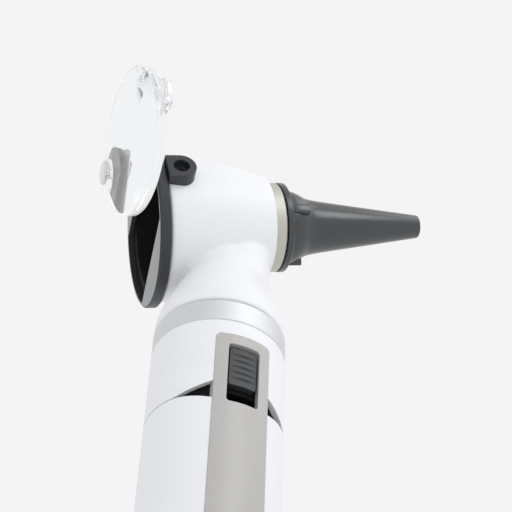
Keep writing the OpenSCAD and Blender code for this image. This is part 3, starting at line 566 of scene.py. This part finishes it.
# Lamps: name, direction from the head, width in millimetres and power in watts
LAMP_DISTANCE = 450 * MM
LAMPS = (
    ("key", (0.64, -0.28, 0.72), 260, 0.2),
    ("front", (0.41, -0.82, 0.4), 200, 0.42),
)


def make_lights():
    """Two broad soft lamps: one above on the speculum's side, one in front on the switch's side."""
    aim = Vector((0, 0, HEAD_HEIGHT))
    for name, direction, width, watts in LAMPS:
        lamp = bpy.data.lights.new(name, "AREA")
        lamp.size = width * MM
        lamp.energy = watts
        obj = bpy.data.objects.new(name, lamp)
        bpy.context.scene.collection.objects.link(obj)
        way = Vector(direction).normalized()
        obj.location = aim + LAMP_DISTANCE * way
        obj.rotation_euler = (-way).to_track_quat("-Z", "Y").to_euler()


# The photograph's camera, which looks up at the collar from below, on the switch's side: its angles in
# radians, its offset along its own axes, its focal length in pixels of the photograph, and the width of
# its sensor in millimetres
CAMERA_PIVOT = Vector((0, 0, COLLAR_FOOT))
CAMERA_PITCH = 0.797
CAMERA_ROLL = 0.044
CAMERA_TURN = -0.168
CAMERA_OFFSET = Vector((8.542, 24.433, 313.38)) * MM
FOCAL_PIXELS = 1400
IMAGE_PIXELS = 512
SENSOR = 36


def make_camera():
    """The camera at the photograph's viewing angle."""
    lens = bpy.data.cameras.new("camera")
    lens.sensor_width = SENSOR
    lens.lens = SENSOR * FOCAL_PIXELS / IMAGE_PIXELS
    lens.clip_start = 1 * MM
    camera = bpy.data.objects.new("camera", lens)
    bpy.context.scene.collection.objects.link(camera)
    turn = (
        Matrix.Rotation(CAMERA_TURN, 4, "Z")
        @ Matrix.Rotation(math.pi / 2 + CAMERA_PITCH, 4, "X")
        @ Matrix.Rotation(CAMERA_ROLL, 4, "Z")
    )
    camera.matrix_world = Matrix.Translation(CAMERA_PIVOT) @ turn @ Matrix.Translation(CAMERA_OFFSET)
    bpy.context.scene.camera = camera


# Light goes round inside the lens's rim many times before it leaves
GLASS_BOUNCES = 48


class OTOSCOPE_OT_stage(bpy.types.Operator):
    """Floor, world, lights and the camera at the photograph's viewing angle"""

    bl_idname = "otoscope.stage"
    bl_label = "Stage"

    def execute(self, context):
        make_floor()
        make_world()
        make_lights()
        make_camera()
        context.scene.view_settings.view_transform = "Standard"
        context.scene.cycles.max_bounces = GLASS_BOUNCES
        context.scene.cycles.transmission_bounces = GLASS_BOUNCES
        context.scene.cycles.glossy_bounces = GLASS_BOUNCES
        return {"FINISHED"}


# Pieces

class OTOSCOPE_OT_handle(bpy.types.Operator):
    """White tube and sleeve of the handle, with the collar on top"""

    bl_idname = "otoscope.handle"
    bl_label = "Handle"

    def execute(self, context):
        dress(("handle_tube", "switch_sleeve"), sizes().joint_edge)
        dress(("collar_ring",), sizes().fine_edge)
        return {"FINISHED"}


# The slider's foot, which runs inside the strip, ends at this distance from the handle's axis; inside it the
# slider is painted black as painted shade in the gap under the slider
FOOT_SHADE_RADIUS = 13.4 * MM


class OTOSCOPE_OT_switch(bpy.types.Operator):
    """Grey strip, thumb slider with its contact, and the chassis behind them"""

    bl_idname = "otoscope.switch"
    bl_label = "Switch"

    def execute(self, context):
        dress(("switch_plate", "switch_core"), sizes().soft_edge)
        slider = seat(softened("switch_slider", sizes().soft_edge), "switch_slider")
        # The slider's foot gets the black finish: painted shade that darkens the gap under the slider
        part_finish(
            slider, finish_of("black_plastic"), lambda middle, normal: middle.xy.length < FOOT_SHADE_RADIUS)
        dress(("slider_contact",), sizes().fine_edge)
        return {"FINISHED"}


# Head shell, in millimetres: its rear and nose edges as (along the axis, radius), and the radius of the
# neck's bore
SHELL_REAR = (-18.3, 18.3)
SHELL_NOSE = (9.3, 12.7)
NECK_BORE = 7.4
# The neck's folds are eased from this far outside the shell's cone and above the collar's foot, and the
# easing comes in over the blend
NECK_CLEAR = 1.2
NECK_FOOT = 9
NECK_BLEND = 2
# Rounds of smoothing over the whole shell, and over the neck's folds
EVEN_ROUNDS = 2
FOLD_ROUNDS = 90


def neck_share(point):
    """How much a point of the head shell belongs to the outside of the neck, from 0 to 1."""
    here = HEAD_FRAME.inverted() @ point
    if here.z >= 0:
        return 0
    along = (here.x / MM - SHELL_REAR[0]) / (SHELL_NOSE[0] - SHELL_REAR[0])
    outline = SHELL_REAR[1] + (SHELL_NOSE[1] - SHELL_REAR[1]) * along
    below = math.hypot(here.y, here.z) / MM - outline - NECK_CLEAR
    above = (point.z - COLLAR_FOOT) / MM - NECK_FOOT
    outside = math.hypot(point.x, point.y) / MM - NECK_BORE
    return min(max(min(below / NECK_BLEND, above / NECK_BLEND, outside), 0), 1)


def add_smoothing(obj, name, rounds, group=""):
    """Adds rounds of smoothing, over a vertex group or the whole mesh."""
    step = obj.modifiers.new(name, "SMOOTH")
    step.factor = 0.5
    step.iterations = rounds
    step.vertex_group = group


def ease_neck(shell):
    """Evens the fine mesh, and eases the folds of the neck where the round foot turns oblong."""
    group = shell.vertex_groups.new(name="neck")
    for vertex in shell.data.vertices:
        share = neck_share(vertex.co)
        if share > 0:
            group.add([vertex.index], share, "REPLACE")
    add_smoothing(shell, "even", EVEN_ROUNDS)
    add_smoothing(shell, "folds", FOLD_ROUNDS, group.name)
    made_plain(shell)


class OTOSCOPE_OT_head(bpy.types.Operator):
    """White head shell, its neck faired into the foot, with the black liner inside"""

    bl_idname = "otoscope.head"
    bl_label = "Head"

    def execute(self, context):
        shell = softened("head_shell", sizes().soft_edge)
        fairing = shell.modifiers.new("fairing", "REMESH")
        fairing.mode = "VOXEL"
        fairing.voxel_size = sizes().shell_grain
        made_plain(shell)
        ease_neck(shell)
        shell.data.shade_smooth()
        seat(shell, "head_shell")
        dress(("head_liner",), sizes().soft_edge)
        return {"FINISHED"}


# Steel post that the lens's pin runs in: its radius, and where it leaves the ear
POST_RADIUS = 2.5
POST_START = -1.5
# A face of the ring belongs to its plate when its normal points this much along the head's axis, or less
PLATE_FACING = -0.9


def on_post(point):
    """True on the post under the lens's pivot."""
    here = PIVOT_FRAME.inverted() @ point / MM
    return here.x < POST_START and math.hypot(here.y, here.z) < POST_RADIUS


class OTOSCOPE_OT_eyepiece(bpy.types.Operator):
    """Dark rear ring and the air port beside it"""

    bl_idname = "otoscope.eyepiece"
    bl_label = "Eyepiece"

    def execute(self, context):
        ring = seat(softened("rear_ring", sizes().soft_edge), "rear_ring")
        # The backward-facing faces get the lighter plate grey, which is partly a painted reflection
        part_finish(ring, rear_plate_painted_reflection(), lambda middle, normal: normal.dot(HEAD_AXIS) < PLATE_FACING)
        part_finish(ring, finish_of("bright_steel"), lambda middle, normal: on_post(middle))
        dress(("port_lug",), sizes().soft_edge)
        return {"FINISHED"}


# Lens, in millimetres: its middle along the head's axis, its rim, and its pivot boss along the pin
LENS_MIDDLE = -26.7
LENS_RADIUS = 18
LENS_ROUND = 0.5
LENS_ROWS = 24
ROUND_ROWS = 4
BOSS = (-7.4, -3.3)
BOSS_RADIUS = 3.8
BOSS_CLEAR = 3
PIN_HOLE = 1.6
# Finger tab: width, reach past the rim and thickness, its lap into the lens, its corners and its edges
TAB = (7.6, 5.2, 2)
TAB_LAP = 2
TAB_CORNER = 2.4
TAB_EDGE = 0.4


def lens_profile():
    """Outline of half the lens: two domed faces and a rounded rim."""
    half = sizes().lens_edge / MM / 2
    crown = sizes().lens_crown / MM
    face = LENS_RADIUS - LENS_ROUND
    shares = [i / LENS_ROWS for i in range(LENS_ROWS + 1)]
    turns = [math.pi / 2 * (i + 1) / ROUND_ROWS for i in range(ROUND_ROWS)]
    front = [(half + crown * (1 - share ** 2), face * share) for share in shares]
    rim = [
        (half - LENS_ROUND * (1 - math.cos(turn)), face + LENS_ROUND * math.sin(turn)) for turn in turns]
    side = front + rim
    return [(LENS_MIDDLE + x, r) for x, r in side] + [(LENS_MIDDLE - x, r) for x, r in reversed(side)]


def finger_tab():
    """Rounded tongue on the lens's rim, opposite the pivot."""
    width, reach, thick = (size * MM for size in TAB)
    lap = TAB_LAP * MM
    pin = LENS_FRAME.inverted() @ PIVOT
    away = Vector((0, -pin.y, -pin.z)).normalized()
    side = away.cross(Vector((1, 0, 0)))
    turn = Matrix((Vector((1, 0, 0)), side, away)).transposed().to_4x4()
    shape = bmesh.new()
    bmesh.ops.create_cube(shape, size=1, matrix=Matrix.Diagonal((thick, width, reach + lap, 1)))
    middle = LENS_RADIUS * MM + (reach - lap) / 2
    shape.transform(Matrix.Translation((0, 0, middle)))
    far = [edge for edge in shape.edges if all(vertex.co.z > middle for vertex in edge.verts)]
    corners = [edge for edge in far if abs(edge.verts[0].co.y - edge.verts[1].co.y) < WELD]
    bmesh.ops.bevel(shape, geom=corners, offset=TAB_CORNER * MM, segments=8, profile=0.5, affect="EDGES")
    rims = [edge for edge in shape.edges if edge.calc_face_angle(0) > EDGE_ANGLE]
    bmesh.ops.bevel(shape, geom=rims, offset=TAB_EDGE * MM, segments=3, profile=0.5, affect="EDGES")
    shape.transform(LENS_FRAME @ Matrix.Translation((LENS_MIDDLE * MM, 0, 0)) @ turn)
    bmesh.ops.recalc_face_normals(shape, faces=shape.faces)
    mesh = bpy.data.meshes.new("tab")
    shape.to_mesh(mesh)
    shape.free()
    return new_object("tab", mesh)


def pin_cylinder(start, end, radius):
    """A cylinder round the lens's pin."""
    return spun("pin", [(start, 0), (start, radius), (end, radius), (end, 0)], PIVOT_FRAME, 64)


class OTOSCOPE_OT_lens(bpy.types.Operator):
    """Swing lens, domed on both faces like a magnifier, with its rivet and washer"""

    bl_idname = "otoscope.lens"
    bl_label = "Lens"

    def execute(self, context):
        lens = spun("lens_domed", lens_profile(), LENS_FRAME)
        combined(lens, finger_tab(), "UNION")
        combined(lens, pin_cylinder(*BOSS, BOSS_RADIUS), "UNION")
        low, high = BOSS[0] - BOSS_CLEAR, BOSS[1] + BOSS_CLEAR
        combined(lens, pin_cylinder(BOSS[1], high, BOSS_RADIUS), "DIFFERENCE")
        combined(lens, pin_cylinder(low, BOSS[0], BOSS_RADIUS), "DIFFERENCE")
        combined(lens, pin_cylinder(low, high, PIN_HOLE), "DIFFERENCE")
        seat(crisp(lens, angle=30), "lens")
        dress(("lens_rivet", "spring_washer"), sizes().fine_edge)
        return {"FINISHED"}


class OTOSCOPE_OT_nose(bpy.types.Operator):
    """Pale ring, seat of the speculum and the light guide that ends round it"""

    bl_idname = "otoscope.nose"
    bl_label = "Nose"

    def execute(self, context):
        dress(("nose_ring", "nose_cone", "fibre_ring", "fibre_bundle"), sizes().fine_edge)
        return {"FINISHED"}


# Speculum, as points in millimetres along the head's axis and out from it: the flange, the shoulder that
# runs on into the straight taper, the lip of the tip, and the bore on the way back
SPECULUM_FLANGE = (
    (13.2, 9.95), (12.6, 9.95), (12.6, 10.95), (12.8, 11.15), (13.9, 11.15), (14.1, 10.95), (14.1, 9.7))
SPECULUM_SHOULDER = (
    (14.2, 9.6), (14.2, 9.25), (16, 9.1), (17.8, 8.4), (19.6, 7.3), (22, 6.72), (27, 6.03))
SPECULUM_TIP = ((50.1, 2.95), (50.4, 2.85), (50.5, 2.5), (50.4, 2.15), (50.1, 2.05))
SPECULUM_BORE = ((20.1, 6.05), (18.3, 7.5), (16.5, 8.25), (13.2, 8.4))
# Its locking ribs: how many, the turn of the first about the head's axis, and the size of each
RIBS = 3
RIB_TURN = math.radians(225)
RIB_ALONG = (13.8, 19)
RIB_OUT = (4.95, 9.5)
RIB_WIDTH = 2.3
RIB_EDGE = 0.25


def locking_rib():
    """Mesh of one rib with rounded edges, straight up from the head's axis."""
    size = Vector((RIB_ALONG[1] - RIB_ALONG[0], RIB_WIDTH, RIB_OUT[1] - RIB_OUT[0])) * MM
    shape = bmesh.new()
    bmesh.ops.create_cube(shape, size=1, matrix=Matrix.Diagonal((*size, 1)))
    bmesh.ops.bevel(
        shape, geom=shape.edges, offset=RIB_EDGE * MM, segments=2, profile=0.5, affect="EDGES")
    shape.transform(Matrix.Translation(Vector((sum(RIB_ALONG) / 2, 0, sum(RIB_OUT) / 2)) * MM))
    mesh = bpy.data.meshes.new("rib")
    shape.to_mesh(mesh)
    shape.free()
    return mesh


def ring_of_ribs(tree, size):
    """Copies one rib round the axis, at even turns from the first."""
    points = add(tree, "GeometryNodePoints", {"Count": size["Count"]})
    index = add(tree, "GeometryNodeInputIndex")
    step = add(tree, "ShaderNodeMath", {0: math.tau, 1: size["Count"]}, operation="DIVIDE")
    turn = add(tree, "ShaderNodeMath", {
        0: index.outputs[0], 1: step.outputs[0], 2: size["First turn"]}, operation="MULTIPLY_ADD")
    angles = add(tree, "ShaderNodeCombineXYZ", {"X": turn.outputs[0]})
    turned = add(tree, "FunctionNodeEulerToRotation", {0: angles.outputs[0]})
    ribs = add(tree, "GeometryNodeInstanceOnPoints", {
        "Points": points.outputs[0], "Instance": size["Geometry"], "Rotation": turned.outputs[0]})
    return ribs.outputs[0]


class OTOSCOPE_OT_speculum(bpy.types.Operator):
    """Grey ear speculum: a funnel with a flange and locking ribs"""

    bl_idname = "otoscope.speculum"
    bl_label = "Speculum"

    def execute(self, context):
        profile = (*SPECULUM_FLANGE, *eased(SPECULUM_SHOULDER), *SPECULUM_TIP, *SPECULUM_BORE)
        funnel = spun("speculum_moulded", profile, HEAD_FRAME)
        ribs = grown("locking_ribs", ring_of_ribs, {
            "Count": RIBS, "First turn": RIB_TURN}, finish_of("speculum_plastic"), locking_rib())
        ribs.data.transform(HEAD_FRAME)
        joined(funnel, ribs)
        seat(crisp(funnel, angle=40), "speculum")
        return {"FINISHED"}


class OTOSCOPE_OT_coupling(bpy.types.Operator):
    """Twist coupling between handle and head, with the lamp above it"""

    bl_idname = "otoscope.coupling"
    bl_label = "Coupling"

    def execute(self, context):
        dress((
            "neck_socket", "coupling_post", "bayonet_pins", "pin_insulator", "contact_pin",
            "lamp_holder", "lamp_base", "lamp_bulb"), sizes().fine_edge)
        return {"FINISHED"}


class OTOSCOPE_OT_cells(bpy.types.Operator):
    """Two cells and the strips that carry their current"""

    bl_idname = "otoscope.cells"
    bl_label = "Cells"

    def execute(self, context):
        dress(("cell_lower", "cell_upper", "contact_strip", "plus_contact"), sizes().fine_edge)
        return {"FINISHED"}


def coil(tree, size):
    """A conical spring: a spiral line with a round wire swept along it."""
    line = add(tree, "GeometryNodeCurveSpiral", {
        "Resolution": 32, "Rotations": size["Turns"], "Start Radius": size["Foot radius"],
        "End Radius": size["Top radius"], "Height": size["Height"]})
    wire = add(tree, "GeometryNodeCurvePrimitiveCircle", {"Resolution": 12, "Radius": size["Wire radius"]})
    swept = add(tree, "GeometryNodeCurveToMesh", {
        "Curve": line.outputs[0], "Profile Curve": wire.outputs[0], "Fill Caps": True})
    lift = add(tree, "ShaderNodeCombineXYZ", {"Z": size["Base height"]})
    return add(tree, "GeometryNodeTransform", {
        "Geometry": swept.outputs[0], "Translation": lift.outputs[0]}).outputs[0]


class OTOSCOPE_OT_base(bpy.types.Operator):
    """End cap with its seal and the battery spring"""

    bl_idname = "otoscope.base"
    bl_label = "Base"

    def execute(self, context):
        dress(("end_cap", "cap_seal"), sizes().fine_edge)
        low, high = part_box("battery_spring")
        wire = sizes().spring_wire
        spring = grown("battery_spring_coil", coil, {
            "Turns": float(sizes().spring_turns),
            "Foot radius": sizes().spring_foot / 2,
            "Top radius": sizes().spring_top / 2,
            "Height": high.z - low.z - wire,
            "Wire radius": wire / 2,
            "Base height": low.z + wire / 2,
        }, finish_of("spring_steel"))
        seat(spring, "battery_spring")
        return {"FINISHED"}


class OTOSCOPE_PT_panel(bpy.types.Panel):
    """Sidebar panel"""

    bl_label = "Otoscope"
    bl_idname = "OTOSCOPE_PT_panel"
    bl_space_type = "VIEW_3D"
    bl_region_type = "UI"
    bl_category = "Otoscope"

    def draw(self, context):
        for operator in OPERATORS:
            self.layout.operator(operator.bl_idname)


OPERATORS = (
    OTOSCOPE_OT_stage, OTOSCOPE_OT_handle, OTOSCOPE_OT_switch, OTOSCOPE_OT_head,
    OTOSCOPE_OT_eyepiece, OTOSCOPE_OT_lens, OTOSCOPE_OT_nose, OTOSCOPE_OT_speculum,
    OTOSCOPE_OT_coupling, OTOSCOPE_OT_cells, OTOSCOPE_OT_base,
)
CLASSES = (OtoscopeColours, OtoscopeSizes) + OPERATORS + (OTOSCOPE_PT_panel,)


def register():
    for cls in CLASSES:
        bpy.utils.register_class(cls)
    bpy.types.Scene.otoscope_colours = bpy.props.PointerProperty(type=OtoscopeColours)
    bpy.types.Scene.otoscope_sizes = bpy.props.PointerProperty(type=OtoscopeSizes)


def unregister():
    del bpy.types.Scene.otoscope_sizes
    del bpy.types.Scene.otoscope_colours
    for cls in reversed(CLASSES):
        bpy.utils.unregister_class(cls)


def main():
    register()
    bpy.ops.otoscope.stage()
    bpy.ops.otoscope.handle()
    bpy.ops.otoscope.switch()
    bpy.ops.otoscope.head()
    bpy.ops.otoscope.eyepiece()
    bpy.ops.otoscope.lens()
    bpy.ops.otoscope.nose()
    bpy.ops.otoscope.speculum()
    bpy.ops.otoscope.coupling()
    bpy.ops.otoscope.cells()
    bpy.ops.otoscope.base()


if __name__ == "__main__":
    main()
